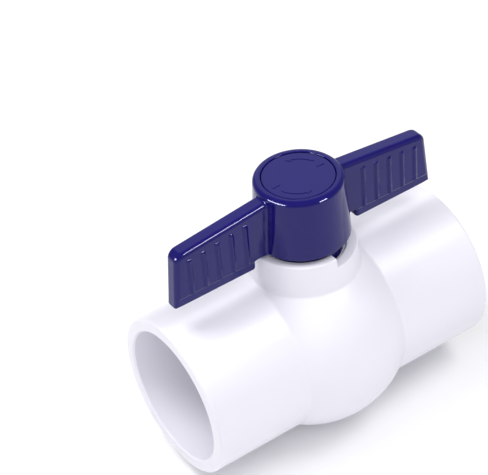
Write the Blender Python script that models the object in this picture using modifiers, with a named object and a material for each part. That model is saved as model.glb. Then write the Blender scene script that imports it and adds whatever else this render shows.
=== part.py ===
"""Compact ball valve for 2-inch plastic pipe: slip sockets, full bore, quarter-turn T-handle.

The pipe runs along X and the stem stands along +Z. The origin is the centre of the ball.
Everything is in metres. The handle is parallel to the pipe, so the valve is open.
"""

import math

import bmesh
import bpy
from mathutils import Matrix

MM = 0.001
GAP = 0.3 * MM  # running clearance between two pieces that touch on the real valve

# Facets of a full turn
LARGE_ROUND = 40
SMALL_ROUND = 28

# Valve body: two pipe sockets on a round belly, with a collar for the stem on top
LENGTH = 143.8 * MM
SOCKET_RADIUS = 36.5 * MM
RIM_CHAMFER = 1.2 * MM
MOUTH_RADIUS = 30.32 * MM
MOUTH_CHAMFER = 0.7 * MM
SOCKET_BOTTOM_RADIUS = 30.08 * MM
SOCKET_DEPTH = 38.1 * MM
STOP_THICKNESS = 3.8 * MM
FLOW_RADIUS = 25.4 * MM
BELLY_RADIUS = 44.3 * MM
CHAMBER_RADIUS = 37.6 * MM
SEAT_POCKET_RADIUS = 31.2 * MM

# Collar
COLLAR_TOP = 47.0 * MM
COLLAR_TOP_RADIUS = 23.2 * MM
COLLAR_ROOT = 30.0 * MM
COLLAR_ROOT_RADIUS = 25.3 * MM
RECESS_RADIUS = 18.6 * MM
RECESS_FLOOR = 44.9 * MM
STOP_WALL_TOP = 51.7 * MM
STOP_WALL_FROM = 168.0
STOP_WALL_TO = 273.0

# Stem
STEM_RADIUS = 10.0 * MM
STEM_BORE_RADIUS = STEM_RADIUS + 0.4 * MM
FLANGE_RADIUS = 13.0 * MM
FLANGE_BOTTOM = 34.6 * MM
FLANGE_TOP = 36.2 * MM
WASHER_THICKNESS = 0.8 * MM
STEM_SHOULDER = RECESS_FLOOR
SEAL_GROOVE_RADIUS = 7.8 * MM
SEAL_GROOVE_HEIGHT = 2.5 * MM
SEAL_GROOVE_BOTTOMS = {"stem_o_ring_lower": 38.3 * MM, "stem_o_ring_upper": 41.6 * MM}
SEAL_SECTION_RADIUS = 0.95 * MM
BLADE_THICKNESS = 7.8 * MM
BLADE_WIDTH = 20.0 * MM
BLADE_BOTTOM = 28.4 * MM
DRIVE_WIDTH = 12.6 * MM
DRIVE_TOP = 74.5 * MM

# Ball and seats
BALL_RADIUS = 34.0 * MM
BALL_BORE_RADIUS = 24.5 * MM
SEAT_FACE_RADIUS = BALL_RADIUS + 0.5 * MM
SEAT_INNER_RADIUS = 24.9 * MM
SEAT_OUTER_RADIUS = 29.3 * MM
SEAT_BACK = 25.3 * MM
BACKING_RING_RADII = (25.6 * MM, 29.0 * MM)
BACKING_RING_SPAN = (25.6 * MM, 27.8 * MM)
CARRIER_OUTER_RADIUS = SEAT_POCKET_RADIUS - GAP
CARRIER_BACK_SPAN = (28.1 * MM, 29.7 * MM)
CARRIER_LIP = 17.7 * MM

# Handle hub: a hollow cap over the stem, with a spigot that turns in the collar's recess
HUB_TOP = 83.2 * MM
HUB_EDGE = 2.2 * MM
HUB_TOP_RADIUS = 19.3 * MM
HUB_BOTTOM = 54.0 * MM
HUB_BOTTOM_RADIUS = 21.0 * MM
HUB_WALL = 2.6 * MM
HUB_CEILING = 77.6 * MM
SPIGOT_RADIUS = 17.2 * MM
SPIGOT_BOTTOM = 45.3 * MM
SPIGOT_INNER_RADIUS = 14.8 * MM
DRIVE_SOCKET_RADIUS = 11.4 * MM
RIB_THICKNESS = 2.0 * MM
LUG_BOTTOM = 47.4 * MM
LUG_CLEARANCE = 0.6  # degrees between the lug and the stop wall
TURN = 90.0

# Handle wings
WING_THICKNESS = 7.0 * MM
PANEL_THICKNESS = 7.6 * MM
PANEL_BOTTOM = 53.2 * MM
PANEL_BORDER = 1.7 * MM
WING_BOTTOM = 48.5 * MM
WING_ROOT_BOTTOM = 52.9 * MM
WING_INNER = 26.2 * MM
WING_TIP_BOTTOM = 66.7 * MM
WING_TIP_TOP = 64.1 * MM
WING_TOP_AT_HUB = 80.2 * MM
WING_TOP_AT_TIP = 75.0 * MM
WING_TOP_HUB_X = 19.0 * MM
WING_CORNER = 3.2 * MM
WING_WALL = 2.1 * MM
GRIP_COUNT = 5
GRIP_FIRST = 30.4 * MM
GRIP_PITCH = 6.9 * MM
GRIP_WIDTH = 3.0 * MM
GRIP_HEIGHT = 0.8 * MM
GRIP_BELOW_TOP = 4.4 * MM

# Handle cap and screw
CAP_RADIUS = 15.5 * MM
CAP_RECESS_RADIUS = CAP_RADIUS + GAP
CAP_RECESS_DEPTH = 2.0 * MM
CAP_THICKNESS = 1.6 * MM
SCREW_RADIUS = 2.1 * MM
SCREW_LENGTH = 14.0 * MM
SCREW_HEAD_RADIUS = 4.0 * MM
SCREW_HEAD_HEIGHT = 2.4 * MM
SCREW_POCKET_RADIUS = 5.6 * MM
SCREW_POCKET_FLOOR = 76.6 * MM
SCREW_WASHER_RADIUS = 5.2 * MM
SCREW_WASHER_THICKNESS = 0.8 * MM

COLOURS = {
    "white_pvc": ((0.86, 0.86, 0.88, 1), 0.25, 0.0),
    "navy_abs": ((0.035, 0.03, 0.16, 1), 0.3, 0.0),
    "white_ptfe": ((0.9, 0.9, 0.88, 1), 0.4, 0.0),
    "black_epdm": ((0.02, 0.02, 0.02, 1), 0.6, 0.0),
    "stainless_steel": ((0.6, 0.6, 0.62, 1), 0.3, 1.0),
}


def clear_scene():
    for old in list(bpy.data.objects):
        bpy.data.objects.remove(old, do_unlink=True)


def new_collection(name):
    collection = bpy.data.collections.new(name)
    bpy.context.scene.collection.children.link(collection)
    return collection


def make_material(name, base):
    colour, roughness, metallic = COLOURS[base]
    material = bpy.data.materials.new(name)
    material.use_nodes = True
    shader = material.node_tree.nodes["Principled BSDF"]
    shader.inputs["Base Color"].default_value = colour
    shader.inputs["Roughness"].default_value = roughness
    shader.inputs["Metallic"].default_value = metallic
    return material


def place(name, mesh, finish=None):
    """Links a part when it has a finish, and a hidden cutter or joined shape when it has none."""
    obj = bpy.data.objects.new(name, mesh)
    if finish:
        parts.objects.link(obj)
        mesh.materials.append(make_material(name, finish))
    else:
        helpers.objects.link(obj)
        obj.hide_render = True
        obj.display_type = "WIRE"
    return obj


def turned(name, profile, steps, finish=None, along_x=False):
    """A turned solid. The profile is (radius, height) down the outer side.

    It either starts and ends on the axis, or is the closed section of a ring.
    """
    mesh = bpy.data.meshes.new(name)
    ring = min(radius for radius, _ in profile) > 0
    points = [(radius, 0, height) for radius, height in profile]
    edges = [(i, i + 1) for i in range(len(points) - 1)]
    if ring:
        edges.append((len(points) - 1, 0))
    mesh.from_pydata(points, edges, [])
    obj = place(name, mesh, finish)
    screw = obj.modifiers.new("Turn", "SCREW")
    screw.steps = screw.render_steps = steps
    screw.use_merge_vertices = True
    screw.merge_threshold = 0.00001
    screw.use_smooth_shade = finish is not None
    if along_x:
        obj.rotation_euler = (0, math.pi / 2, 0)
    return obj


def block(name, low, high, finish=None, bevel=0.0):
    mesh = bpy.data.meshes.new(name)
    shape = bmesh.new()
    bmesh.ops.create_cube(shape, size=1)
    size = [b - a for a, b in zip(low, high)]
    middle = [(a + b) / 2 for a, b in zip(low, high)]
    matrix = Matrix.Translation(middle) @ Matrix.Diagonal((*size, 1))
    bmesh.ops.transform(shape, matrix=matrix, verts=shape.verts)
    shape.to_mesh(mesh)
    shape.free()
    obj = place(name, mesh, finish)
    if bevel:
        edge = obj.modifiers.new("Edges", "BEVEL")
        edge.width = bevel
        edge.segments = 2
    return obj


def plate(name, outline, thickness, upright=False, bevel=0.0):
    """A flat outline of the given thickness, about its own plane: level, or upright in XZ."""
    curve = bpy.data.curves.new(name, "CURVE")
    curve.dimensions = "2D"
    curve.fill_mode = "BOTH"
    curve.extrude = thickness / 2
    spline = curve.splines.new("POLY")
    spline.points.add(len(outline) - 1)
    for point, (u, v) in zip(spline.points, outline):
        point.co = (u, v, 0, 1)
    spline.use_cyclic_u = True
    source = bpy.data.objects.new(name + "_outline", curve)
    helpers.objects.link(source)
    graph = bpy.context.evaluated_depsgraph_get()
    mesh = bpy.data.meshes.new_from_object(source.evaluated_get(graph))
    bpy.data.objects.remove(source, do_unlink=True)
    shape = bmesh.new()
    shape.from_mesh(mesh)
    bmesh.ops.remove_doubles(shape, verts=shape.verts, dist=0.00001)
    bmesh.ops.recalc_face_normals(shape, faces=shape.faces)
    shape.to_mesh(mesh)
    shape.free()
    obj = place(name, mesh)
    if upright:
        obj.rotation_euler = (math.pi / 2, 0, 0)
    if bevel:
        edge = obj.modifiers.new("Edges", "BEVEL")
        edge.width = bevel
        edge.segments = 2
        edge.limit_method = "ANGLE"
        edge.angle_limit = math.radians(50)
    return obj


def boolean(obj, operation, *others):
    for other in others:
        step = obj.modifiers.new(other.name, "BOOLEAN")
        step.operation = operation
        step.object = other


def arc(radius, start, end, count, centre=(0, 0)):
    """Points on an arc, from start to end in degrees."""
    points = []
    for i in range(count + 1):
        angle = math.radians(start + (end - start) * i / count)
        points.append((centre[0] + radius * math.cos(angle), centre[1] + radius * math.sin(angle)))
    return points


def sector(inner, outer, start, end, count):
    """The outline of a part of a flat ring."""
    return arc(outer, start, end, count) + arc(inner, end, start, count)


def symmetric(profile):
    """Adds the mirror image below the middle to a profile that runs from the top to the middle."""
    return profile + [(radius, -height) for radius, height in reversed(profile)]


def belly_arc(radius, edge_radius, count):
    """Half of a round belly's section: (radius, x) from the edge radius up to the widest point."""
    start = math.degrees(math.asin(edge_radius / radius))
    return [(r, x) for x, r in arc(radius, start, 90, count)]


def stop_lug_span():
    """The handle's lug fills what the stop wall and the quarter turn leave free."""
    start = STOP_WALL_TO - 360 + TURN + LUG_CLEARANCE
    return start, STOP_WALL_FROM - LUG_CLEARANCE


def build_valve_body():
    end = LENGTH / 2
    shell = [(0, end), (SOCKET_RADIUS - RIM_CHAMFER, end), (SOCKET_RADIUS, end - RIM_CHAMFER)]
    shell += belly_arc(BELLY_RADIUS, SOCKET_RADIUS, 6)[:-1]
    outside = symmetric(shell)
    widest = len(shell)
    outside.insert(widest, (BELLY_RADIUS, 0))
    body = turned("valve_body", outside, LARGE_ROUND, "white_pvc", along_x=True)

    slope = (COLLAR_ROOT_RADIUS - COLLAR_TOP_RADIUS) / (COLLAR_TOP - COLLAR_ROOT)
    wall_radius = COLLAR_TOP_RADIUS - slope * (STOP_WALL_TOP - COLLAR_TOP)
    edge = 0.6 * MM
    collar = turned(
        "collar_shape",
        [
            (0, STOP_WALL_TOP),
            (wall_radius - edge, STOP_WALL_TOP),
            (wall_radius + slope * edge, STOP_WALL_TOP - edge),
            (COLLAR_ROOT_RADIUS, COLLAR_ROOT),
            (0, COLLAR_ROOT),
        ],
        LARGE_ROUND,
    )
    beyond = 2 * MM
    ledge_top = STOP_WALL_TOP + beyond
    ledge_outline = [(0, 0)] + arc(COLLAR_ROOT_RADIUS, STOP_WALL_TO, STOP_WALL_FROM + 360, 24)
    ledge_cut = plate("ledge_cut", ledge_outline, ledge_top - COLLAR_TOP)
    ledge_cut.location.z = (ledge_top + COLLAR_TOP) / 2

    stop_outer = end - SOCKET_DEPTH
    stop_inner = stop_outer - STOP_THICKNESS
    inside = [
        (0, end + beyond),
        (MOUTH_RADIUS + MOUTH_CHAMFER, end + beyond),
        (MOUTH_RADIUS + MOUTH_CHAMFER, end),
        (MOUTH_RADIUS, end - MOUTH_CHAMFER),
        (SOCKET_BOTTOM_RADIUS, stop_outer),
        (FLOW_RADIUS, stop_outer),
        (FLOW_RADIUS, stop_inner),
        (SEAT_POCKET_RADIUS, stop_inner),
    ]
    inside += belly_arc(CHAMBER_RADIUS, SEAT_POCKET_RADIUS, 4)[:-1]
    waterway_profile = symmetric(inside)
    waterway_profile.insert(len(inside), (CHAMBER_RADIUS, 0))
    waterway = turned("waterway", waterway_profile, LARGE_ROUND, along_x=True)

    spotface = FLANGE_TOP + WASHER_THICKNESS + 2 * GAP
    spotface_radius = FLANGE_RADIUS + 2 * GAP
    stem_bore = turned(
        "stem_bore",
        [
            (0, ledge_top),
            (RECESS_RADIUS, ledge_top),
            (RECESS_RADIUS, RECESS_FLOOR),
            (STEM_BORE_RADIUS, RECESS_FLOOR),
            (STEM_BORE_RADIUS, spotface),
            (spotface_radius, spotface),
            (spotface_radius, COLLAR_ROOT),
            (0, COLLAR_ROOT),
        ],
        LARGE_ROUND,
    )
    boolean(body, "UNION", collar)
    boolean(body, "DIFFERENCE", ledge_cut, waterway, stem_bore)
    return body


def mirrored_ring(name, section, finish):
    """The same ring on both sides of the ball: its section is (radius, x) on the +X side."""
    for side, sign in (("outlet", 1), ("inlet", -1)):
        profile = section if sign > 0 else [(radius, -x) for radius, x in reversed(section)]
        turned(f"{name}_{side}", profile, LARGE_ROUND, finish, along_x=True)


def on_sphere(radius, ring_radius):
    return math.sqrt(radius**2 - ring_radius**2)


def build_seats():
    lip = 1.2 * MM
    carrier = [
        (CARRIER_OUTER_RADIUS, CARRIER_BACK_SPAN[1]),
        (CARRIER_OUTER_RADIUS, CARRIER_LIP + lip),
        (CARRIER_OUTER_RADIUS - lip / 2, CARRIER_LIP),
        (SEAT_OUTER_RADIUS + GAP, CARRIER_LIP),
        (SEAT_OUTER_RADIUS + GAP, CARRIER_BACK_SPAN[0]),
        (SEAT_INNER_RADIUS, CARRIER_BACK_SPAN[0]),
        (SEAT_INNER_RADIUS, CARRIER_BACK_SPAN[1]),
    ]
    mirrored_ring("seat_carrier", carrier, "white_pvc")

    face = []
    face_points = 4
    for i in range(face_points + 1):
        radius = SEAT_OUTER_RADIUS + (SEAT_INNER_RADIUS - SEAT_OUTER_RADIUS) * i / face_points
        face.append((radius, on_sphere(SEAT_FACE_RADIUS, radius)))
    seat = [(SEAT_OUTER_RADIUS, SEAT_BACK)] + face + [(SEAT_INNER_RADIUS, SEAT_BACK)]
    mirrored_ring("ball_seat", seat, "white_ptfe")

    inner, outer = BACKING_RING_RADII
    front, back = BACKING_RING_SPAN
    edge = 0.6 * MM
    backing = [
        (outer - edge, back),
        (outer, back - edge),
        (outer, front + edge),
        (outer - edge, front),
        (inner + edge, front),
        (inner, front + edge),
        (inner, back - edge),
        (inner + edge, back),
    ]
    mirrored_ring("seat_backing_ring", backing, "black_epdm")


def build_ball():
    bore_end = on_sphere(BALL_RADIUS, BALL_BORE_RADIUS)
    start = math.degrees(math.asin(BALL_BORE_RADIUS / BALL_RADIUS))
    round_side = [(r, x) for x, r in arc(BALL_RADIUS, start, 180 - start, 14)]
    bore_edge = 0.8 * MM
    profile = [(BALL_BORE_RADIUS + bore_edge, on_sphere(BALL_RADIUS, BALL_BORE_RADIUS + bore_edge))]
    profile += round_side[1:-1]
    profile += [(BALL_BORE_RADIUS + bore_edge, -profile[0][1])]
    profile += [(BALL_BORE_RADIUS, -bore_end + bore_edge), (BALL_BORE_RADIUS, bore_end - bore_edge)]
    ball = turned("ball", profile, LARGE_ROUND, "white_pvc", along_x=True)
    slot_floor = BLADE_BOTTOM - GAP
    half = BLADE_THICKNESS / 2 + GAP
    slot = block(
        "blade_slot", (-half, -BALL_RADIUS, slot_floor), (half, BALL_RADIUS, BALL_RADIUS + MM)
    )
    boolean(ball, "DIFFERENCE", slot)
    return ball


def build_stem():
    profile = [(0, STEM_SHOULDER + 0.2 * MM), (STEM_RADIUS - 0.4 * MM, STEM_SHOULDER + 0.2 * MM)]
    profile.append((STEM_RADIUS, STEM_SHOULDER - 0.2 * MM))
    for bottom in sorted(SEAL_GROOVE_BOTTOMS.values(), reverse=True):
        top = bottom + SEAL_GROOVE_HEIGHT
        profile += [(STEM_RADIUS, top), (SEAL_GROOVE_RADIUS, top)]
        profile += [(SEAL_GROOVE_RADIUS, bottom), (STEM_RADIUS, bottom)]
    profile += [(STEM_RADIUS, FLANGE_TOP), (FLANGE_RADIUS, FLANGE_TOP)]
    profile += [(FLANGE_RADIUS, FLANGE_BOTTOM), (0, FLANGE_BOTTOM)]
    stem = turned("stem", profile, SMALL_ROUND, "white_pvc")

    overlap = 0.5 * MM
    half_thick, half_wide = BLADE_THICKNESS / 2, BLADE_WIDTH / 2
    blade = block(
        "blade_shape",
        (-half_thick, -half_wide, BLADE_BOTTOM),
        (half_thick, half_wide, FLANGE_BOTTOM + 0.8 * MM),
    )
    half = DRIVE_WIDTH / 2
    drive = block(
        "drive_shape", (-half, -half, STEM_SHOULDER - overlap), (half, half, DRIVE_TOP)
    )
    pilot = turned(
        "screw_pilot",
        [
            (0, DRIVE_TOP + MM),
            (SCREW_RADIUS + GAP, DRIVE_TOP + MM),
            (SCREW_RADIUS + GAP, SCREW_POCKET_FLOOR - SCREW_LENGTH - MM),
            (0, SCREW_POCKET_FLOOR - SCREW_LENGTH - MM),
        ],
        SMALL_ROUND // 2,
    )
    boolean(stem, "UNION", blade, drive)
    boolean(stem, "DIFFERENCE", pilot)

    for name, bottom in SEAL_GROOVE_BOTTOMS.items():
        centre = (SEAL_GROOVE_RADIUS + GAP + SEAL_SECTION_RADIUS, bottom + SEAL_GROOVE_HEIGHT / 2)
        section = arc(SEAL_SECTION_RADIUS, 90, -270, 8, centre)[:-1]
        turned(name, section, SMALL_ROUND, "black_epdm")

    washer_bottom = FLANGE_TOP + GAP
    washer = [
        (FLANGE_RADIUS, washer_bottom + WASHER_THICKNESS),
        (FLANGE_RADIUS, washer_bottom),
        (STEM_BORE_RADIUS, washer_bottom),
        (STEM_BORE_RADIUS, washer_bottom + WASHER_THICKNESS),
    ]
    turned("stem_thrust_washer", washer, SMALL_ROUND, "white_ptfe")
    return stem


def wing_top(x):
    """Height of the wing's sloping top edge."""
    slope = (WING_TOP_AT_TIP - WING_TOP_AT_HUB) / (WING_TIP_TOP - WING_TOP_HUB_X)
    return WING_TOP_AT_HUB + slope * (x - WING_TOP_HUB_X)


def wing_shapes(sign):
    """The plate, its raised panel and grip ribs, and the hollow under it, on one side of the hub."""
    side = "outlet" if sign > 0 else "inlet"
    buried = 15.5 * MM
    corner = (WING_TIP_TOP - WING_CORNER, wing_top(WING_TIP_TOP) - WING_CORNER)
    outline = [(buried, WING_ROOT_BOTTOM), (buried, wing_top(buried))]
    outline += arc(WING_CORNER, 84, 6, 4, corner)
    outline += [(WING_TIP_BOTTOM - 0.2 * MM, WING_BOTTOM), (WING_INNER + 1.4 * MM, WING_BOTTOM)]
    outline += [(WING_INNER + 0.3 * MM, WING_BOTTOM + 0.9 * MM), (WING_INNER, WING_ROOT_BOTTOM)]
    blade = plate(
        f"wing_{side}",
        [(sign * x, z) for x, z in outline],
        WING_THICKNESS,
        upright=True,
        bevel=0.9 * MM,
    )
    panel_tip, panel_top = WING_TIP_TOP - PANEL_BORDER, wing_top(WING_TIP_TOP) - PANEL_BORDER
    panel_outline = [
        (buried, PANEL_BOTTOM),
        (buried, wing_top(buried) - PANEL_BORDER),
        (panel_tip - 1.4 * MM, panel_top),
        (panel_tip, panel_top - 1.4 * MM),
        (WING_TIP_BOTTOM - PANEL_BORDER - 0.5 * MM, PANEL_BOTTOM),
    ]
    panel = plate(
        f"wing_panel_{side}",
        [(sign * x, z) for x, z in panel_outline],
        PANEL_THICKNESS,
        upright=True,
    )
    hollow_inner = WING_INNER + WING_WALL
    hollow_outer = WING_TIP_TOP - WING_WALL
    hollow_outline = [
        (hollow_inner, WING_BOTTOM - MM),
        (hollow_inner, wing_top(hollow_inner) - WING_WALL),
        (hollow_outer - 2 * MM, wing_top(hollow_outer) - WING_WALL),
        (hollow_outer, WING_BOTTOM - MM),
    ]
    hollow = plate(
        f"wing_hollow_{side}",
        [(sign * x, z) for x, z in hollow_outline],
        WING_THICKNESS - 2 * WING_WALL,
        upright=True,
    )
    grips = []
    foot, crest = PANEL_THICKNESS / 2, PANEL_THICKNESS / 2 + GRIP_HEIGHT
    for i in range(GRIP_COUNT):
        middle = sign * (GRIP_FIRST + i * GRIP_PITCH)
        top = wing_top(abs(middle)) - GRIP_BELOW_TOP
        half = [(GRIP_WIDTH / 2, foot), (GRIP_WIDTH / 4, crest)]
        half += [(-x, y) for x, y in reversed(half)]
        section = [(middle + x, y) for x, y in half] + [(middle - x, -y) for x, y in half]
        grip = plate(f"grip_{side}_{i}", section, top - PANEL_BOTTOM)
        grip.location.z = (top + PANEL_BOTTOM) / 2
        grips.append(grip)
    return [blade, panel] + grips, hollow


def build_handle():
    edge_height = HUB_TOP - HUB_EDGE
    slope = (HUB_BOTTOM_RADIUS - HUB_TOP_RADIUS) / (edge_height - HUB_BOTTOM)
    round_edge = arc(HUB_EDGE, 90, 0, 3, (HUB_TOP_RADIUS - HUB_EDGE, edge_height))
    inner_top = HUB_TOP_RADIUS + slope * (edge_height - HUB_CEILING) - HUB_WALL
    recess_floor = HUB_TOP - CAP_RECESS_DEPTH
    shell = [(0, recess_floor), (CAP_RECESS_RADIUS, recess_floor), (CAP_RECESS_RADIUS, HUB_TOP)]
    shell += round_edge
    shell += [
        (HUB_BOTTOM_RADIUS, HUB_BOTTOM),
        (SPIGOT_RADIUS, HUB_BOTTOM),
        (SPIGOT_RADIUS, SPIGOT_BOTTOM),
        (SPIGOT_INNER_RADIUS, SPIGOT_BOTTOM),
        (SPIGOT_INNER_RADIUS, HUB_BOTTOM),
        (inner_top, HUB_CEILING),
        (0, HUB_CEILING),
    ]
    handle = turned("handle", shell, LARGE_ROUND, "navy_abs")

    overlap = MM
    socket = turned(
        "drive_socket_shape",
        [
            (0, HUB_CEILING + overlap),
            (DRIVE_SOCKET_RADIUS, HUB_CEILING + overlap),
            (DRIVE_SOCKET_RADIUS, SPIGOT_BOTTOM + MM),
            (0, SPIGOT_BOTTOM + MM),
        ],
        SMALL_ROUND,
    )
    half_rib = RIB_THICKNESS / 2
    reach = SPIGOT_INNER_RADIUS + MM
    rib_bottom = HUB_BOTTOM + 2 * MM
    ribs = [
        block("rib_along", (-reach, -half_rib, rib_bottom), (reach, half_rib, HUB_CEILING + overlap)),
        block("rib_across", (-half_rib, -reach, rib_bottom), (half_rib, reach, HUB_CEILING + overlap)),
    ]
    lug_start, lug_end = stop_lug_span()
    lug_top = HUB_BOTTOM + overlap
    lug = plate(
        "stop_lug_shape",
        sector(SPIGOT_RADIUS - overlap, HUB_BOTTOM_RADIUS - 0.2 * MM, lug_start, lug_end, 24),
        lug_top - LUG_BOTTOM,
    )
    lug.location.z = (lug_top + LUG_BOTTOM) / 2

    half = DRIVE_WIDTH / 2 + GAP
    drive_hole = block("drive_hole", (-half, -half, SPIGOT_BOTTOM), (half, half, DRIVE_TOP + GAP))
    screw_hole = turned(
        "screw_hole",
        [
            (0, HUB_TOP),
            (SCREW_POCKET_RADIUS, HUB_TOP),
            (SCREW_POCKET_RADIUS, SCREW_POCKET_FLOOR),
            (SCREW_RADIUS + GAP, SCREW_POCKET_FLOOR),
            (SCREW_RADIUS + GAP, DRIVE_TOP - MM),
            (0, DRIVE_TOP - MM),
        ],
        SMALL_ROUND,
    )
    inlet, outlet = wing_shapes(-1), wing_shapes(1)
    boolean(handle, "UNION", socket, *ribs, lug)
    for solids, hollow in (inlet, outlet):
        boolean(handle, "UNION", *solids)
        boolean(handle, "DIFFERENCE", hollow)
    boolean(handle, "DIFFERENCE", drive_hole, screw_hole)
    return handle


def build_screw_and_cap():
    washer_bottom = SCREW_POCKET_FLOOR + GAP
    washer = [
        (SCREW_WASHER_RADIUS, washer_bottom + SCREW_WASHER_THICKNESS),
        (SCREW_WASHER_RADIUS, washer_bottom),
        (SCREW_RADIUS + GAP, washer_bottom),
        (SCREW_RADIUS + GAP, washer_bottom + SCREW_WASHER_THICKNESS),
    ]
    turned("handle_screw_washer", washer, SMALL_ROUND, "stainless_steel")

    head_bottom = washer_bottom + SCREW_WASHER_THICKNESS + GAP
    head_top = head_bottom + SCREW_HEAD_HEIGHT
    tip = SCREW_POCKET_FLOOR - SCREW_LENGTH
    screw = turned(
        "handle_screw",
        [
            (0, head_top),
            (SCREW_HEAD_RADIUS * 0.6, head_top),
            (SCREW_HEAD_RADIUS * 0.92, head_top - 0.8 * MM),
            (SCREW_HEAD_RADIUS, head_bottom),
            (SCREW_RADIUS, head_bottom),
            (SCREW_RADIUS, tip + 3 * MM),
            (0, tip),
        ],
        SMALL_ROUND // 2,
        "stainless_steel",
    )
    arm = 2.0 * MM
    blade = 0.4 * MM
    cross_floor = head_top - 1.6 * MM
    recesses = [
        block("cross_recess_x", (-arm, -blade, cross_floor), (arm, blade, head_top + MM)),
        block("cross_recess_y", (-blade, -arm, cross_floor), (blade, arm, head_top + MM)),
    ]
    boolean(screw, "DIFFERENCE", *recesses)

    cap_top = HUB_TOP - CAP_RECESS_DEPTH + GAP + CAP_THICKNESS
    cap_bottom = cap_top - CAP_THICKNESS
    cap_edge = 0.4 * MM
    turned(
        "handle_cap",
        [
            (0, cap_top),
            (CAP_RADIUS - cap_edge, cap_top),
            (CAP_RADIUS, cap_top - cap_edge),
            (CAP_RADIUS, cap_bottom),
            (0, cap_bottom),
        ],
        LARGE_ROUND,
        "navy_abs",
    )


clear_scene()
parts = new_collection("ball_valve")
helpers = new_collection("cutters_and_joined_shapes")

build_valve_body()
build_seats()
build_ball()
build_stem()
build_handle()
build_screw_and_cap()
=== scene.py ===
"""Looks for a compact 2-inch plastic ball valve: white sockets and belly, navy T-handle.

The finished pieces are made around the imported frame. Lengths are in millimetres until a
mesh is made, and the frame's own units are metres.
"""

import math

import bmesh
import bpy
import numpy as np
from mathutils import Matrix, Vector


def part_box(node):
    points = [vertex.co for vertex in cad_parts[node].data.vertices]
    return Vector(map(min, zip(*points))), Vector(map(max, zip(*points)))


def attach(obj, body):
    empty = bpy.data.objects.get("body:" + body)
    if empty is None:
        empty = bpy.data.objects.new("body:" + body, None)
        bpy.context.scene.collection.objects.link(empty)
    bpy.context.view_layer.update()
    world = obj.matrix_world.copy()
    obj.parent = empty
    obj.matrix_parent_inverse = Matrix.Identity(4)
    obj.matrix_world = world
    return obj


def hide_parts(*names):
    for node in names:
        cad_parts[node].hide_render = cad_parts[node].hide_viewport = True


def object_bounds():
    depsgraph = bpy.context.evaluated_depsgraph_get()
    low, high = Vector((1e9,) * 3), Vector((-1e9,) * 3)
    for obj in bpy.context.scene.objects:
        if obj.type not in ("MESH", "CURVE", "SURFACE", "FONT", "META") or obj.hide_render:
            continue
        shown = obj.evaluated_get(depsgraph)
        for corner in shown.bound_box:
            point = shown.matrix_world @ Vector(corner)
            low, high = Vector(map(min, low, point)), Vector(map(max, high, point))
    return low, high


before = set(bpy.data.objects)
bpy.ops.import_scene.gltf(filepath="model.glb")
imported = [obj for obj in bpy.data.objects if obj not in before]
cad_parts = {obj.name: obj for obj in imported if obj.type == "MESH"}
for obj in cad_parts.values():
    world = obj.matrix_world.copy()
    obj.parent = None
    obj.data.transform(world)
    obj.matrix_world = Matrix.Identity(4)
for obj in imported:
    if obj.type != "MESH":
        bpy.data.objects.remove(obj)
cad_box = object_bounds()

MM = 0.001


def box_mm(node):
    """A CAD node's lowest and highest corners in millimetres."""
    low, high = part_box(node)
    return low / MM, high / MM


BODY_HIGH = box_mm("valve_body")[1]
HANDLE_LOW, HANDLE_HIGH = box_mm("handle")
CAP_LOW, CAP_HIGH = box_mm("handle_cap")

# Facets of a full turn, and degrees from point to point round a corner
LARGE_ROUND = 192
SMALL_ROUND = 96
CORNER_STEP = 12

# Body
END = BODY_HIGH.x
BELLY_RADIUS = BODY_HIGH.y
SOCKET_RADIUS = 36.5
RIM_ROUND = 1.4
CREASE_ROUND = 3.0
MOUTH_RADIUS = 30.32
MOUTH_CHAMFER = 0.7
MOUTH_EDGE = 0.35
SOCKET_BOTTOM_RADIUS = 30.08
SOCKET_DEPTH = 38.1
STOP_THICKNESS = 3.8
FLOW_RADIUS = 25.4
CHAMBER_RADIUS = 37.6
SEAT_POCKET_RADIUS = 31.2
STEM_OPENING_RADIUS = 22.0
STEM_OPENING_BOTTOM = 20.0
STEM_OPENING_TOP = 60.0

# Collar
COLLAR_TOP = 47.0
COLLAR_TOP_RADIUS = 23.2
COLLAR_SLOPE = 0.1235
COLLAR_ROOT_ROUND = 1.8
COLLAR_EDGE_ROUND = 0.8
COLLAR_FOOT_LIFT = 0.12
COLLAR_SKIRT = 1.3
COLLAR_SKIRT_DEPTH = 0.3
COLLAR_SKIRT_BOTTOM = 34.0
CHAMBER_ROOF_RADIUS = 21.0
CHAMBER_ROOF_EDGE = 31.4
CHAMBER_ROOF_MIDDLE = 35.1
RECESS_RADIUS = 18.6
RECESS_FLOOR = 44.9
RECESS_ROUND = 0.4
STEM_BORE_RADIUS = 10.4
SPOTFACE_RADIUS = 13.6
SPOTFACE = 37.6
STOP_WALL_TOP = BODY_HIGH.z
STOP_WALL_SPAN = (168.0, 273.0)
STOP_WALL_EDGE = 0.7

# Handle hub
HUB_TOP = HANDLE_HIGH.z
HUB_EDGE = 2.2
HUB_TOP_RADIUS = 19.3
HUB_BOTTOM = 54.0
HUB_BOTTOM_RADIUS = HANDLE_HIGH.y
HUB_TAPER = (HUB_BOTTOM_RADIUS - HUB_TOP_RADIUS) / (HUB_TOP - HUB_EDGE - HUB_BOTTOM)
HUB_SKIRT_ROUND = 0.5
HUB_WALL = 2.6
HUB_CEILING = 77.6
SPIGOT_RADIUS = 17.2
SPIGOT_BOTTOM = HANDLE_LOW.z
SPIGOT_INNER_RADIUS = 14.8
SPIGOT_ROUND = 0.4
DRIVE_SOCKET_RADIUS = 11.4
DRIVE_SOCKET_BOTTOM = SPIGOT_BOTTOM + 1
DRIVE_HALF_WIDTH = 6.6
DRIVE_TOP = 74.8
RIB_HALF_THICKNESS = 1.0
RIB_BOTTOM = 56.0
LUG_RADIUS = 20.8
LUG_BOTTOM = 47.4
LUG_SPAN = (3.6, 167.4)
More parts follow.
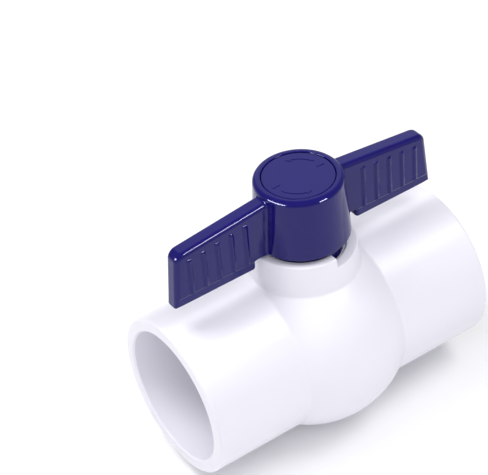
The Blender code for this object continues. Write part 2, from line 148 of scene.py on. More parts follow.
LUG_ROUND = 0.4
LUG_FILLET = 0.3
CAP_RECESS_RADIUS = 15.8
CAP_RECESS_FLOOR = HUB_TOP - 2.0
CAP_RECESS_ROUND = 0.3
SCREW_POCKET_RADIUS = 5.6
SCREW_POCKET_FLOOR = 76.6
SCREW_HOLE_RADIUS = 2.4

# Handle wings
WING_HALF_THICKNESS = 3.5
WING_PANEL_HEIGHT = 0.28
WING_PANEL_BOTTOM = 53.2
WING_BOTTOM = HANDLE_LOW.z + 3.2
WING_ROOT_BOTTOM = 52.9
WING_ROOT_ROUND = 0.8
WING_INNER = 26.2
WING_INNER_ROUND = 1.6
WING_TIP = 66.7
WING_TIP_SLOPE = 0.1
WING_TOP_AT_HUB = 80.2
WING_TOP_SLOPE = -0.11
WING_CORNER = 3.4
WING_EDGE_ROUND = 1.5
WING_TIP_ROUND = 1.8
WING_TIP_BLEND = (-4, -1)
WING_OUTLINE_ROUND = 0.7
WING_BORDER = 1.7
WING_WALL = 2.1
WING_HOLLOW_HALF = 1.3
WING_HOLLOW_ROUND = 0.5
WING_PANEL_RISE = 0.5
WING_ROOT_FILLET = 0.8
GRIP_COUNT = 5
GRIP_FIRST = 30.4
GRIP_PITCH = 6.9
GRIP_HALF_WIDTH = 1.55
GRIP_HEIGHT = 0.85
GRIP_BELOW_TOP = 4.4
GRIP_ROUND = 0.8
GRIP_END_SLOPE = 1.6

# Handle cap
CAP_SINK = 0.25
CAP_EDGE = 0.35
ARROW_RADIUS = 11.6
ARROW_STARTS = (20, 200)
ARROW_TURN = 62
INDEX_BAR_RADII = (13.0, 9.6)
INDEX_BAR_HALF_TURN = 2.4
MARK_HEIGHT = 0.2
MARK_DEPTH = 0.4

# Ball and seats
BALL_RADIUS = 34.0
BALL_BORE_RADIUS = 24.5
SEAT_FACE_RADIUS = 34.5
SEAT_RADII = (24.9, 29.3)
SEAT_BACK = 25.3
CARRIER_GAP = 0.3
CARRIER_SHOULDER = 1.6
BACKING_RING_GAP = 0.7
BACKING_RING_EDGE = 0.7
BALL_BORE_EDGE = 0.8
BLADE_SLOT_HALF_WIDTH = 4.2
BLADE_SLOT_GAP = 0.3
BLADE_SLOT_REACH = 40.0


# ---------------------------------------------------------------- shapes


def mesh_object(name, points, faces):
    """A smooth object from points in millimetres."""
    mesh = bpy.data.meshes.new(name)
    mesh.from_pydata((np.asarray(points) * MM).tolist(), [], faces)
    mesh.validate()
    mesh.shade_smooth()
    obj = bpy.data.objects.new(name, mesh)
    bpy.context.scene.collection.objects.link(obj)
    return obj


def arc(radius, start, end, count, centre=(0, 0)):
    """Points on an arc, from start to end in degrees."""
    points = []
    for i in range(count + 1):
        angle = math.radians(start + (end - start) * i / count)
        points.append((centre[0] + radius * math.cos(angle), centre[1] + radius * math.sin(angle)))
    return points


def rounded(outline, closed=False):
    """An outline of (u, v) or (u, v, round): each corner with a round becomes an arc."""
    count = len(outline)
    points = []
    for i, corner in enumerate(outline):
        here = Vector(corner[:2])
        radius = corner[2] if len(corner) > 2 else 0
        if not radius or (not closed and i in (0, count - 1)):
            points.append(tuple(here))
            continue
        back = (Vector(outline[i - 1][:2]) - here).normalized()
        on = (Vector(outline[(i + 1) % count][:2]) - here).normalized()
        half_angle = back.angle(on) / 2
        turn = math.pi - 2 * half_angle
        centre = here + (back + on).normalized() * (radius / math.sin(half_angle))
        first = here + back * (radius / math.tan(half_angle)) - centre
        side = 1 if back.cross(on) < 0 else -1
        steps = max(2, round(math.degrees(turn) / CORNER_STEP))
        for step in range(steps + 1):
            spoke = Matrix.Rotation(side * turn * step / steps, 2) @ first
            points.append(tuple(centre + spoke))
    return points


def turned(name, profile, steps=LARGE_ROUND, along_x=False):
    """A turned solid from (radius, height) points down the outer side.

    The profile is the closed section of a ring, or starts and ends on the axis.
    """
    on_axis = [radius < 1e-6 for radius, _ in profile]
    points, rows = [], []
    for (radius, height), single in zip(profile, on_axis):
        rows.append(len(points))
        for i in range(1 if single else steps):
            angle = 2 * math.pi * i / steps
            points.append((radius * math.cos(angle), radius * math.sin(angle), height))
    faces = []
    last = len(profile) - 1 if on_axis[0] else len(profile)
    for row in range(last):
        following = (row + 1) % len(profile)
        for i in range(steps):
            j = (i + 1) % steps
            above, below = rows[row], rows[following]
            upper = [above] if on_axis[row] else [above + i, above + j]
            lower = [below] if on_axis[following] else [below + j, below + i]
            faces.append(list(reversed(upper + lower)))
    if along_x:
        points = [(z, y, -x) for x, y, z in points]
    return outward(mesh_object(name, points, faces))


def outward(obj):
    """Turns the faces of a closed mesh outward."""
    shape = bmesh.new()
    shape.from_mesh(obj.data)
    bmesh.ops.recalc_face_normals(shape, faces=shape.faces)
    shape.to_mesh(obj.data)
    shape.free()
    return obj


def block(name, low, high):
    """A plain box used as a cutter."""
    mesh = bpy.data.meshes.new(name)
    shape = bmesh.new()
    bmesh.ops.create_cube(shape, size=1)
    middle = (Vector(low) + Vector(high)) / 2 * MM
    size = (Vector(high) - Vector(low)) * MM
    matrix = Matrix.Translation(middle) @ Matrix.Diagonal((*size, 1))
    bmesh.ops.transform(shape, matrix=matrix, verts=shape.verts)
    shape.to_mesh(mesh)
    shape.free()
    obj = bpy.data.objects.new(name, mesh)
    bpy.context.scene.collection.objects.link(obj)
    return obj


def slab(name, outline, bottom, top):
    """A level outline pulled up from bottom to top."""
    shape = bmesh.new()
    ring = [shape.verts.new((x * MM, y * MM, bottom * MM)) for x, y in outline]
    base = shape.faces.new(ring)
    pulled = bmesh.ops.extrude_face_region(shape, geom=[base])
    moved = [item for item in pulled["geom"] if isinstance(item, bmesh.types.BMVert)]
    bmesh.ops.translate(shape, verts=moved, vec=(0, 0, (top - bottom) * MM))
    bmesh.ops.recalc_face_normals(shape, faces=shape.faces)
    mesh = bpy.data.meshes.new(name)
    shape.to_mesh(mesh)
    shape.free()
    mesh.shade_smooth()
    obj = bpy.data.objects.new(name, mesh)
    bpy.context.scene.collection.objects.link(obj)
    return obj


def combine(obj, operation, *others):
    """Joins or cuts obj with the others, which are then removed."""
    for other in others:
        step = obj.modifiers.new(other.name, "BOOLEAN")
        step.operation = operation
        step.object = other
        graph = bpy.context.evaluated_depsgraph_get()
        made = bpy.data.meshes.new_from_object(obj.evaluated_get(graph))
        obj.modifiers.clear()
        obj.data = made
        bpy.data.objects.remove(other, do_unlink=True)
    return obj


def even_shading(obj, angle=35):
    """Flat areas stay flat and small rounds carry the turn of the light."""
    obj.data.shade_smooth()
    obj.data.set_sharp_from_angle(angle=math.radians(angle))
    weighted = obj.modifiers.new("Normals", "WEIGHTED_NORMAL")
    weighted.weight = 100
    weighted.keep_sharp = True
    return obj


def symmetric(profile):
    """Adds the mirror image below the middle to a profile that runs from the top to the middle."""
    return profile + [(radius, -height) for radius, height in reversed(profile[:-1])]


# ---------------------------------------------------------------- rounded solids from distances


def rounded_max(a, b, radius):
    """What lies inside both, with the corner between them rounded."""
    corner = np.hypot(np.maximum(a + radius, 0), np.maximum(b + radius, 0))
    return np.minimum(np.maximum(a, b), -radius) + corner


def rounded_min(a, b, radius):
    """What lies inside either, with a fillet between them."""
    return -rounded_max(-a, -b, radius)


def ramp(value, start, end):
    """0 before start and 1 after end, with a soft rise between them."""
    share = np.clip((value - start) / (end - start), 0, 1)
    return share * share * (3 - 2 * share)


def lines(*stretches):
    """Grid lines along an axis, from stretches of (start, end, spacing)."""
    found = []
    for start, end, spacing in stretches:
        count = max(1, round((end - start) / spacing))
        found.extend(np.linspace(start, end, count, endpoint=False))
    found.append(stretches[-1][1])
    return np.array(found)


def both_sides(half):
    """Grid lines from 0 outward, with their mirror image added."""
    return np.concatenate([-half[:0:-1], half])


def gradient(field, points, reach=0.02):
    """The field's slope at each point, from its values a small reach away."""
    slopes = []
    for axis in range(3):
        step = np.zeros(3)
        step[axis] = reach
        slopes.append((field(*(points + step).T) - field(*(points - step).T)) / (2 * reach))
    return np.stack(slopes, axis=1)


def edge_crossings(value, grid, cells):
    """The middle of the points where the surface crosses the edges of each cell."""
    total = np.zeros((len(cells), 3))
    count = np.zeros(len(cells))
    for axis in range(3):
        unit = np.eye(3, dtype=int)[axis]
        for u in (0, 1):
            for v in (0, 1):
                near = cells + np.roll((0, u, v), axis)
                far = near + unit
                a, b = value[tuple(near.T)], value[tuple(far.T)]
                crossed = (a < 0) != (b < 0)
                share = np.where(crossed, a / np.where(crossed, a - b, 1), 0)[:, None]
                start = np.stack([grid[k][near[:, k]] for k in range(3)], axis=1)
                end = np.stack([grid[k][far[:, k]] for k in range(3)], axis=1)
                total += np.where(crossed[:, None], start + share * (end - start), 0)
                count += crossed
    return total / count[:, None]


def surface_of(name, field, grid):
    """The zero level of field(x, y, z) as one closed mesh of quads, one point to a grid cell."""
    value = field(*np.meshgrid(*grid, indexing="ij"))
    inside = value < 0
    corners = np.zeros(np.array(value.shape) - 1, int)
    nx, ny, nz = corners.shape
    for i in (0, 1):
        for j in (0, 1):
            for k in (0, 1):
                corners += inside[i : i + nx, j : j + ny, k : k + nz]
    active = (corners > 0) & (corners < 8)
    cells = np.argwhere(active)
    number = np.full(corners.shape, -1)
    number[active] = np.arange(len(cells))

    points = edge_crossings(value, grid, cells)
    farthest, flattest, passes = 0.4, 0.05, 4
    for _ in range(passes):
        slope = gradient(field, points)
        size = np.maximum((slope**2).sum(axis=1), flattest)
        step = np.clip(field(*points.T) / size, -farthest, farthest)
        points -= step[:, None] * slope

    faces = []
    for axis in range(3):
        u, v = (axis + 1) % 3, (axis + 2) % 3
        here = inside.take(range(inside.shape[axis] - 1), axis)
        beyond = inside.take(range(1, inside.shape[axis]), axis)
        edges = np.argwhere(here != beyond)
        around = []
        for du, dv in ((0, 0), (-1, 0), (-1, -1), (0, -1)):
            cell = edges.copy()
            cell[:, u] += du
            cell[:, v] += dv
            around.append(number[tuple(cell.T)])
        quads = np.stack(around, axis=1)
        leaving = here[tuple(edges.T)]
        faces.append(np.where(leaving[:, None], quads, quads[:, ::-1]))
    obj = mesh_object(name, points, np.concatenate(faces).tolist())
    slope = gradient(field, points)
    normals = slope / np.linalg.norm(slope, axis=1)[:, None]
    obj.data.normals_split_custom_set_from_vertices(normals.tolist())
    return obj


# ---------------------------------------------------------------- materials


def new_material(name, **sockets):
    """A Principled material with plain numbers on its own sockets."""
    material = bpy.data.materials.new(name)
    material.use_nodes = True
    shader = material.node_tree.nodes["Principled BSDF"]
    for socket, value in sockets.items():
        shader.inputs[socket.replace("_", " ")].default_value = value
    return material, material.node_tree, shader


def object_noise(tree, scale, detail=2.0):
    """Noise in the object's own space, where scale is waves to a metre."""
    place = tree.nodes.new("ShaderNodeTexCoord")
    noise = tree.nodes.new("ShaderNodeTexNoise")
    noise.inputs["Scale"].default_value = scale
    noise.inputs["Detail"].default_value = detail
    tree.links.new(place.outputs["Object"], noise.inputs["Vector"])
    return noise.outputs["Fac"]


def spread(tree, source, low, high):
    """Maps the middle of a noise's range to low..high."""
    scale = tree.nodes.new("ShaderNodeMapRange")
    scale.inputs["From Min"].default_value = 0.3
    scale.inputs["From Max"].default_value = 0.7
    scale.inputs["To Min"].default_value = low
    scale.inputs["To Max"].default_value = high
    tree.links.new(source, scale.inputs["Value"])
    return scale.outputs["Result"]


def moulded_plastic(name, light, dark, roughness, peel, **sockets):
    """Glossy moulded plastic: faint flow tones, uneven gloss and a fine orange peel."""
    material, tree, shader = new_material(name, **sockets)
    tone = tree.nodes.new("ShaderNodeMix")
    tone.data_type = "RGBA"
    tone.inputs["A"].default_value = (*dark, 1)
    tone.inputs["B"].default_value = (*light, 1)
    tree.links.new(spread(tree, object_noise(tree, 45), 0, 1), tone.inputs["Factor"])
    tree.links.new(tone.outputs["Result"], shader.inputs["Base Color"])
    gloss = spread(tree, object_noise(tree, 70, 1), *roughness)
    tree.links.new(gloss, shader.inputs["Roughness"])
    bump = tree.nodes.new("ShaderNodeBump")
    bump.inputs["Strength"].default_value = peel
    bump.inputs["Distance"].default_value = 0.00005
    tree.links.new(object_noise(tree, 900, 3), bump.inputs["Height"])
    tree.links.new(bump.outputs["Normal"], shader.inputs["Normal"])
    return material


def make_materials():
    white = moulded_plastic(
        "white_pvc", (0.782, 0.772, 0.845), (0.776, 0.766, 0.84), (0.3, 0.33), 0.005
    )
    ball = moulded_plastic(
        "ball_pvc", (0.78, 0.78, 0.81), (0.76, 0.76, 0.79), (0.14, 0.2), 0.02
    )
    navy = moulded_plastic(
        "navy_abs", (0.0064, 0.0036, 0.119), (0.0054, 0.003, 0.107), (0.07, 0.11), 0.012, IOR=1.36
    )
    ptfe = moulded_plastic(
        "seat_ptfe", (0.86, 0.86, 0.84), (0.82, 0.82, 0.8), (0.4, 0.5), 0.15
    )
    rubber = moulded_plastic(
        "seal_epdm", (0.018, 0.018, 0.018), (0.011, 0.011, 0.012), (0.5, 0.65), 0.4
    )
    steel = moulded_plastic(
        "screw_steel", (0.62, 0.62, 0.64), (0.5, 0.5, 0.52), (0.25, 0.4), 0.2, Metallic=1.0
    )
    return {
        "white_pvc": white,
        "carrier_pvc": white,
        "stem_pvc": white,
        "ball_pvc": ball,
        "navy_abs": navy,
        "seat_ptfe": ptfe,
        "seal_epdm": rubber,
        "screw_steel": steel,
    }


def finish_piece(obj, slot, body, *nodes):
    """Gives a piece its material, hangs it on the empty of the body it rides on, and hides the CAD
    nodes it stands for.
    """
    obj.data.materials.clear()
    obj.data.materials.append(materials[slot])
    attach(obj, body)
    if nodes:
        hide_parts(*nodes)
    return obj


# ---------------------------------------------------------------- body


def sphere_height(radius, ring_radius):
    """How far from a sphere's middle plane its ring of this radius lies."""
    return math.sqrt(radius**2 - ring_radius**2)


def outside_profile():
    """Half of the body's outer section, from the rim to the widest ring."""
    lean = sphere_height(BELLY_RADIUS + CREASE_ROUND, SOCKET_RADIUS + CREASE_ROUND)
    crease_angle = math.degrees(math.atan2(SOCKET_RADIUS + CREASE_ROUND, lean))
    rim = rounded(
        [
            (MOUTH_RADIUS + MOUTH_CHAMFER, END),
            (SOCKET_RADIUS, END, RIM_ROUND),
            (SOCKET_RADIUS, END - 2 * RIM_ROUND),
        ]
    )
    walls = [(SOCKET_RADIUS, END - (END - lean) * share) for share in (0.2, 0.4, 0.6, 0.8)]
    crease = arc(CREASE_ROUND, -90, crease_angle - 180, 6, (lean, SOCKET_RADIUS + CREASE_ROUND))
    belly = arc(BELLY_RADIUS, crease_angle, 90, 22)[1:]
    return rim + walls + [(r, x) for x, r in crease + belly]


def inside_profile():
    """Half of the body's inner section, from the mouth to the widest ring."""
    stop_outer = END - SOCKET_DEPTH
    stop_inner = stop_outer - STOP_THICKNESS
    edge = MOUTH_EDGE
    socket = rounded(
        [
            (MOUTH_RADIUS + MOUTH_CHAMFER, END),
            (MOUTH_RADIUS, END - MOUTH_CHAMFER, edge),
            (SOCKET_BOTTOM_RADIUS, stop_outer, edge),
            (FLOW_RADIUS, stop_outer, edge),
            (FLOW_RADIUS, stop_inner, edge),
            (SEAT_POCKET_RADIUS, stop_inner, edge),
            (SEAT_POCKET_RADIUS, sphere_height(CHAMBER_RADIUS, SEAT_POCKET_RADIUS)),
        ]
    )
    start = math.degrees(math.asin(SEAT_POCKET_RADIUS / CHAMBER_RADIUS))
    chamber = arc(CHAMBER_RADIUS, start, 90, 12)[1:]
    return socket[1:] + [(r, x) for x, r in chamber]


def collar_profile(top, top_round):
    """The collar's section: flat top, tapered side, fillet onto the belly, and the stem's bore."""
    foot_radius = BELLY_RADIUS + COLLAR_FOOT_LIFT
    top_radius = COLLAR_TOP_RADIUS - COLLAR_SLOPE * (top - COLLAR_TOP)
    foot = COLLAR_TOP_RADIUS
    # Each pass brings the foot nearer to where the tapered side meets the belly.
    for _ in range(20):
        foot = COLLAR_TOP_RADIUS + (COLLAR_TOP - sphere_height(foot_radius, foot)) * COLLAR_SLOPE
    skirt = foot + COLLAR_SKIRT
    return rounded(
        [
            (RECESS_RADIUS, top, RECESS_ROUND),
            (top_radius, top, top_round),
            (foot, sphere_height(foot_radius, foot), COLLAR_ROOT_ROUND),
            (skirt, sphere_height(BELLY_RADIUS, skirt) - COLLAR_SKIRT_DEPTH),
            (skirt - 1, COLLAR_SKIRT_BOTTOM),
            (CHAMBER_ROOF_RADIUS, CHAMBER_ROOF_EDGE),
            (SPOTFACE_RADIUS, CHAMBER_ROOF_MIDDLE),
            (SPOTFACE_RADIUS, SPOTFACE),
            (STEM_BORE_RADIUS, SPOTFACE),
            (STEM_BORE_RADIUS, RECESS_FLOOR),
            (RECESS_RADIUS, RECESS_FLOOR),
        ],
        closed=True,
    )


def build_stop_wall():
    """The part of the collar that stands above the ledge, with rounded ends."""
    wall = turned("stop_wall", collar_profile(STOP_WALL_TOP, STOP_WALL_EDGE))
    start, end = STOP_WALL_SPAN
    reach = COLLAR_TOP_RADIUS + 1
    sector = [(0, 0)] + arc(reach, start, end, 60)
    keep = slab("wall_sector", sector, COLLAR_TOP - 2, STOP_WALL_TOP + 2)
    combine(wall, "INTERSECT", keep)
    return wall


def build_body():
    profile = symmetric(outside_profile()) + list(reversed(symmetric(inside_profile())))
    body = turned("valve_body_shell", profile, along_x=True)
    top, bottom = STEM_OPENING_TOP, STEM_OPENING_BOTTOM
    section = [(0, top), (STEM_OPENING_RADIUS, top), (STEM_OPENING_RADIUS, bottom), (0, bottom)]
    opening = turned("stem_opening", section, SMALL_ROUND)
    collar = turned("collar", collar_profile(COLLAR_TOP, COLLAR_EDGE_ROUND))
    combine(body, "DIFFERENCE", opening)
    combine(body, "UNION", collar, build_stop_wall())
    even_shading(body)
    return finish_piece(body, "white_pvc", "valve_body", "valve_body")


# ---------------------------------------------------------------- inside pieces


def ring_pair(name, section, slot, node):
    """The same ring on both sides of the ball: its section is (radius, x) on the +X side."""
    for side, sign in (("outlet", 1), ("inlet", -1)):
        ring = turned(f"{name}_{side}", [(r, sign * x) for r, x in section], along_x=True)
        even_shading(ring)
        finish_piece(ring, slot, "valve_body", f"{node}_{side}")


def build_seats():
    low, high = box_mm("seat_carrier_outlet")
    pocket = SEAT_RADII[1] + CARRIER_GAP
    shoulder = high.x - CARRIER_SHOULDER
    ring_pair(
        "carrier_ring",
        rounded(
            [
                (high.y, high.x, 0.3),
                (high.y, low.x, 0.8),
                (pocket, low.x, 0.3),
                (pocket, shoulder),
                (SEAT_RADII[0], shoulder, 0.2),
                (SEAT_RADII[0], high.x, 0.4),
            ],
            closed=True,
        ),
        "carrier_pvc",
        "seat_carrier",
    )
    face = []
    face_points = 12
    for i in range(face_points + 1):
        radius = SEAT_RADII[1] + (SEAT_RADII[0] - SEAT_RADII[1]) * i / face_points
        face.append((radius, sphere_height(SEAT_FACE_RADIUS, radius)))
    seat = [(SEAT_RADII[1], SEAT_BACK)] + face + [(SEAT_RADII[0], SEAT_BACK)]
    ring_pair("seat_ring", seat, "seat_ptfe", "ball_seat")

    low, high = box_mm("seat_backing_ring_outlet")
    inner = SEAT_RADII[0] + BACKING_RING_GAP
    edge = BACKING_RING_EDGE
    backing = [
        (high.y, high.x, edge),
        (high.y, low.x, edge),
        (inner, low.x, edge),
        (inner, high.x, edge),
    ]
    ring_pair("backing_ring", rounded(backing, closed=True), "seal_epdm", "seat_backing_ring")


def build_ball():
    edge = BALL_BORE_EDGE
    bore_end = sphere_height(BALL_RADIUS, BALL_BORE_RADIUS + edge)
    start = math.degrees(math.asin((BALL_BORE_RADIUS + edge) / BALL_RADIUS))
    profile = [(r, x) for x, r in arc(BALL_RADIUS, start, 180 - start, 48)]
    bore_half = bore_end - edge * 0.4
    profile += [(BALL_BORE_RADIUS + edge * 0.3, -bore_half), (BALL_BORE_RADIUS, -bore_half + edge)]
    profile += [(BALL_BORE_RADIUS, bore_half - edge), (BALL_BORE_RADIUS + edge * 0.3, bore_half)]
    ball = turned("bored_ball", profile, along_x=True)
    slot_bottom = box_mm("stem")[0].z - BLADE_SLOT_GAP
    half, reach = BLADE_SLOT_HALF_WIDTH, BLADE_SLOT_REACH
    slot = block("blade_slot", (-half, -reach, slot_bottom), (half, reach, reach))
    combine(ball, "DIFFERENCE", slot)
    even_shading(ball)
    finish_piece(ball, "ball_pvc", "ball", "ball")


# ---------------------------------------------------------------- handle


def wing_edge(x, z):
    """Distance inside the wing's sloping top and its tip, seen from the front."""
    top = z - (WING_TOP_AT_HUB + WING_TOP_SLOPE * (x - HUB_TOP_RADIUS))
    tip = x - (WING_TIP - WING_TIP_SLOPE * (z - WING_BOTTOM))
    top, tip = top / math.hypot(1, WING_TOP_SLOPE), tip / math.hypot(1, WING_TIP_SLOPE)
    return rounded_max(top, tip, WING_CORNER), tip


def grip_amount(x, z):
    """1 along the crest of a domed grip rib and 0 outside it."""
    nearest = np.clip(np.round((x - GRIP_FIRST) / GRIP_PITCH), 0, GRIP_COUNT - 1)
    middle = GRIP_FIRST + nearest * GRIP_PITCH
    top = WING_TOP_AT_HUB + WING_TOP_SLOPE * (middle - HUB_TOP_RADIUS) - GRIP_BELOW_TOP
    ends = GRIP_END_SLOPE * np.maximum(z - top, WING_PANEL_BOTTOM - z)
    outline = rounded_max(np.abs(x - middle) - GRIP_HALF_WIDTH, ends, GRIP_ROUND)
    return ramp(-outline, 0, GRIP_HALF_WIDTH)


def wing_half_thickness(x, z, edge):
    """Half the thickness: a raised panel inside a low border, with grip ribs on the panel."""
    inside = np.minimum(-edge - WING_BORDER, z - WING_PANEL_BOTTOM)
    raised = WING_PANEL_HEIGHT * ramp(inside, -WING_PANEL_RISE, WING_PANEL_RISE)
    return WING_HALF_THICKNESS + raised + GRIP_HEIGHT * grip_amount(x, z)


def wing(x, y, z):
    """Both wings: x and y are distances from the middle planes."""
    edge, tip = wing_edge(x, z)
    foot = rounded_max(WING_INNER - x, WING_BOTTOM - z, WING_INNER_ROUND)
    bottom = rounded_min(foot, WING_ROOT_BOTTOM - z, WING_ROOT_ROUND)
    outline = rounded_max(edge, bottom, WING_OUTLINE_ROUND)
    near_tip = ramp(tip, *WING_TIP_BLEND)
    round_radius = WING_EDGE_ROUND + (WING_TIP_ROUND - WING_EDGE_ROUND) * near_tip
    solid = rounded_max(outline, y - wing_half_thickness(x, z, edge), round_radius)
    hollow = rounded_max(edge + WING_WALL, WING_INNER + WING_WALL - x, WING_HOLLOW_ROUND)
    return solid, rounded_max(hollow, y - WING_HOLLOW_HALF, WING_HOLLOW_ROUND)


def hub(x, y, z, radius):
    """The hub, its spigot and its stop lug, all solid."""
    wall = HUB_TOP_RADIUS + HUB_TAPER * (HUB_TOP - HUB_EDGE - z)
    side = (radius - wall) / math.hypot(1, HUB_TAPER)
    skirt = rounded_max(side, z - HUB_TOP, HUB_EDGE)
    skirt = rounded_max(skirt, HUB_BOTTOM - z, HUB_SKIRT_ROUND)
    spigot = rounded_max(radius - SPIGOT_RADIUS, SPIGOT_BOTTOM - z, SPIGOT_ROUND)
    spigot = np.maximum(spigot, z - HUB_BOTTOM - 1)
    sides = []
    for angle in (math.radians(LUG_SPAN[0]), math.radians(LUG_SPAN[1] - 180)):
        sides.append(x * math.sin(angle) - y * math.cos(angle))
    lug = rounded_max(np.maximum(*sides), radius - LUG_RADIUS, LUG_ROUND)
    lug = rounded_max(lug, np.maximum(LUG_BOTTOM - z, z - HUB_BOTTOM - 1), LUG_ROUND)
    return np.minimum(skirt, rounded_min(spigot, lug, LUG_FILLET))


def hub_cuts(x, y, z, radius):
    """Everything cut from the hub. x and y are distances from the middle planes."""
    taper = (HUB_TOP_RADIUS - HUB_WALL) + HUB_TAPER * (HUB_TOP - HUB_EDGE - z)
    widening = np.minimum(taper, SPIGOT_INNER_RADIUS + (z - HUB_BOTTOM))
    inner = np.where(z < HUB_BOTTOM, SPIGOT_INNER_RADIUS, widening)
    cavity = np.maximum(radius - inner, z - HUB_CEILING)
    socket = np.maximum(radius - DRIVE_SOCKET_RADIUS, DRIVE_SOCKET_BOTTOM - z)
    rib = np.maximum(np.minimum(x, y) - RIB_HALF_THICKNESS, RIB_BOTTOM - z)
    cavity = np.maximum(cavity, -np.minimum(socket, rib))
    drive = np.maximum(np.maximum(x, y) - DRIVE_HALF_WIDTH, z - DRIVE_TOP)
    recess = np.maximum(radius - CAP_RECESS_RADIUS, CAP_RECESS_FLOOR - z)
    pocket = np.maximum(radius - SCREW_POCKET_RADIUS, SCREW_POCKET_FLOOR - z)
    hole = np.maximum(radius - SCREW_HOLE_RADIUS, DRIVE_TOP - 1 - z)
    inside = np.minimum(np.minimum(cavity, drive), np.minimum(pocket, hole))
    return inside, recess


def handle_field(x, y, z):
    """Signed distance, near enough, to the whole handle moulding in millimetres."""
    across, along = np.abs(y), np.abs(x)
    radius = np.hypot(x, y)
    blades, hollow = wing(along, across, z)
    solid = rounded_min(hub(x, y, z, radius), blades, WING_ROOT_FILLET)
    inside, recess = hub_cuts(along, across, z, radius)
    solid = rounded_max(solid, -recess, CAP_RECESS_ROUND)
    return np.maximum(solid, -np.minimum(inside, hollow))


def handle_grid():
    """Grid lines that crowd where the moulding has small detail."""
    foot, crest = 2.1, 0.9
    along = [(0, 20, 0.7), (20, GRIP_FIRST - foot, 0.65)]
    for i in range(GRIP_COUNT):
        middle = GRIP_FIRST + i * GRIP_PITCH
        along += [
            (middle - foot, middle - crest, 0.25),
            (middle - crest, middle + crest, 0.6),
            (middle + crest, middle + foot, 0.25),
            (middle + foot, middle + GRIP_PITCH - foot, 0.9),
        ]
    last = GRIP_FIRST + GRIP_COUNT * GRIP_PITCH - foot
    along.append((last, WING_TIP + 1, 0.45))
    across = [(0, 2.4, 0.6), (2.4, 5.0, 0.26), (5.0, HUB_BOTTOM_RADIUS + 1, 0.7)]
    up = [
        (SPIGOT_BOTTOM - 1, WING_BOTTOM + 1, 0.54),
        (WING_BOTTOM + 1, WING_PANEL_BOTTOM - 0.6, 0.75),
        (WING_PANEL_BOTTOM - 0.6, HUB_BOTTOM + 0.6, 0.28),
        (HUB_BOTTOM + 0.6, 70, 0.95),
        (70, 81, 0.5),
        (81, HUB_TOP + 0.6, 0.28),
    ]
    return both_sides(lines(*along)), both_sides(lines(*across)), lines(*up)


def build_handle():
    handle = surface_of("t_handle", handle_field, handle_grid())
    return finish_piece(handle, "navy_abs", "handle", "handle")


def arrow_outline(middle_radius, start, end):
    """A bent arrow seen from above, from one angle to another, with its head at the end."""
    half_width, head_half, head_turn = 0.55, 1.5, 11
    sign = 1 if end > start else -1
    shaft_end = end - sign * head_turn
    outer = arc(middle_radius + half_width, start, shaft_end, 16)
    inner = arc(middle_radius - half_width, shaft_end, start, 16)
    head = arc(middle_radius + head_half, shaft_end, shaft_end, 1)[:1]
    head += arc(middle_radius, end, end, 1)[:1]
    head += arc(middle_radius - head_half, shaft_end, shaft_end, 1)[:1]
    return outer + head + inner


def build_cap():
    """The snap-in cap over the screw, with two plain turning arrows and two index bars."""
    radius, top, bottom = CAP_HIGH.x, HUB_TOP - CAP_SINK, CAP_LOW.z
    corners = [(0, top), (radius, top, CAP_EDGE), (radius, bottom, CAP_EDGE), (0, bottom)]
    cap = turned("handle_cap_disc", rounded(corners))
    low, high = top - MARK_DEPTH, top + MARK_HEIGHT
    for i, start in enumerate(ARROW_STARTS):
        outline = arrow_outline(ARROW_RADIUS, start, start + ARROW_TURN)
        combine(cap, "UNION", slab(f"arrow_{i}", outline, low, high))
    outer, inner = INDEX_BAR_RADII
    half = INDEX_BAR_HALF_TURN
    for i, angle in enumerate((0, 180)):
        bar = arc(outer, angle - half, angle + half, 4) + arc(inner, angle + half, angle - half, 4)
        combine(cap, "UNION", slab(f"bar_{i}", bar, low, high))
    even_shading(cap, 50)
    return finish_piece(cap, "navy_abs", "handle", "handle_cap")


def dress_cad_nodes():
    """Gives the pieces kept from the CAD their materials."""
    slots = {
        "stem": "stem_pvc",
        "stem_o_ring_lower": "seal_epdm",
        "stem_o_ring_upper": "seal_epdm",
        "stem_thrust_washer": "seat_ptfe",
        "handle_screw": "screw_steel",
        "handle_screw_washer": "screw_steel",
    }
    for node, slot in slots.items():
        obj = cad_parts[node]
        for material_slot in obj.material_slots:
            material_slot.material = materials[slot]


# ---------------------------------------------------------------- studio


def build_floor():
    """A wide pale floor just under the valve."""
    half = 3.0
    mesh = bpy.data.meshes.new("floor")
    corners = [(-half, -half), (half, -half), (half, half), (-half, half)]
    mesh.from_pydata([(x, y, 0) for x, y in corners], [], [(0, 1, 2, 3)])
    floor = bpy.data.objects.new("floor", mesh)
    bpy.context.scene.collection.objects.link(floor)
    floor.location.z = cad_box[0].z - 0.0001
    material, tree, shader = new_material("pale_floor", Roughness=0.75)
    tone = tree.nodes.new("ShaderNodeMix")
    tone.data_type = "RGBA"
    tone.inputs["A"].default_value = (0.955, 0.955, 0.965, 1)
    tone.inputs["B"].default_value = (0.97, 0.97, 0.975, 1)
    tree.links.new(object_noise(tree, 6), tone.inputs["Factor"])
    tree.links.new(tone.outputs["Result"], shader.inputs["Base Color"])
    mesh.materials.append(material)


def direction(azimuth, elevation):
    """Unit vector towards a compass angle in the XY plane and a height angle, in degrees."""
    a, e = math.radians(azimuth), math.radians(elevation)
    return Vector((math.cos(a) * math.cos(e), math.sin(a) * math.cos(e), math.sin(e)))


def soft_box(name, azimuth, elevation, distance, size, watts):
    """A rectangular light in metres that faces the origin."""
    light = bpy.data.lights.new(name, "AREA")
    light.shape = "RECTANGLE"
    light.size, light.size_y = size
    light.energy = watts
    obj = bpy.data.objects.new(name, light)
    bpy.context.scene.collection.objects.link(obj)
    towards = direction(azimuth, elevation)
    obj.location = towards * distance
    obj.rotation_euler = towards.to_track_quat("Z", "Y").to_euler()
    return obj


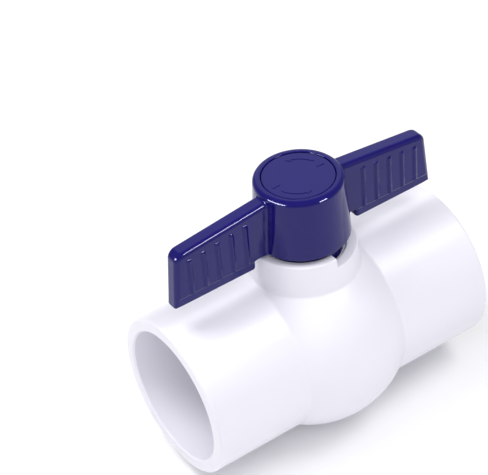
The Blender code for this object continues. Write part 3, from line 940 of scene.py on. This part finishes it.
def shine(name, azimuth, elevation, size, watts, receivers, color=(1, 1, 1)):
    """A light that shows only in reflections, and only in those on the pieces it is given."""
    distance = 0.9
    light = soft_box(name, azimuth, elevation, distance, size, watts)
    light.visible_diffuse = False
    light.data.color = color
    pieces = bpy.data.collections.new(name + "_pieces")
    for receiver in receivers:
        pieces.objects.link(bpy.data.objects[receiver])
    light.light_linking.receiver_collection = pieces


def build_lights():
    """Softboxes at the sides, overhead and in front, and an even white world.

    Reflections have their own lights: a back panel on everything, side boxes on the body
    and low strips on the handle.
    """
    body = ("valve_body_shell",)
    handle = ("t_handle", "handle_cap_disc")
    diffuse = (
        soft_box("right_box", 316, 60, 1.0, (0.4, 0.4), 3.1),
        soft_box("left_box", 139, 59, 1.0, (0.4, 0.4), 5.0),
        soft_box("overhead_box", 236, 86, 1.1, (1.1, 1.1), 2.6),
        soft_box("front_fill", 236, 42, 1.2, (0.8, 0.8), 4.5),
    )
    for light in diffuse:
        light.visible_glossy = False
    panel = soft_box("back_panel", 58, 38, 1.6, (1.6, 1.2), 3.8)
    panel.visible_diffuse = False
    shine("right_gloss", 316, 60, (0.4, 0.4), 2.6, body)
    shine("left_gloss", 139, 59, (0.4, 0.4), 4.0, body)
    cool = (0.75, 0.74, 1.0)
    shine("right_strip", 291, 22, (0.26, 0.24), 10.5, handle, cool)
    shine("left_strip", 180, 23, (0.66, 0.24), 24, handle, cool)

    world = bpy.data.worlds.new("studio")
    world.use_nodes = True
    background = world.node_tree.nodes["Background"]
    background.inputs["Color"].default_value = (0.985, 0.985, 1.0, 1)
    background.inputs["Strength"].default_value = 0.39
    bpy.context.scene.world = world
    bpy.context.scene.view_settings.view_transform = "Standard"


def build_camera():
    """A long lens above the inlet's side, turned and tilted as the fitted view is."""
    azimuth, elevation, roll = (math.radians(angle) for angle in (-31.501, 39.684, -5.391))
    back = Vector(
        (
            math.sin(azimuth) * math.cos(elevation),
            -math.cos(azimuth) * math.cos(elevation),
            math.sin(elevation),
        )
    )
    level_right = (-back).cross(Vector((0, 0, 1))).normalized()
    level_up = level_right.cross(-back)
    right = math.cos(roll) * level_right + math.sin(roll) * level_up
    up = -math.sin(roll) * level_right + math.cos(roll) * level_up
    data = bpy.data.cameras.new("camera")
    data.lens = 136.45
    data.sensor_width = 36.0
    camera = bpy.data.objects.new("camera", data)
    bpy.context.scene.collection.objects.link(camera)
    turn = Matrix((right, up, back)).transposed().to_4x4()
    camera.matrix_world = Matrix.Translation((-0.335117, -0.499705, 0.551420)) @ turn
    bpy.context.scene.camera = camera


build_camera()
materials = make_materials()
build_body()
build_seats()
build_ball()
build_handle()
build_cap()
dress_cad_nodes()
build_floor()
build_lights()
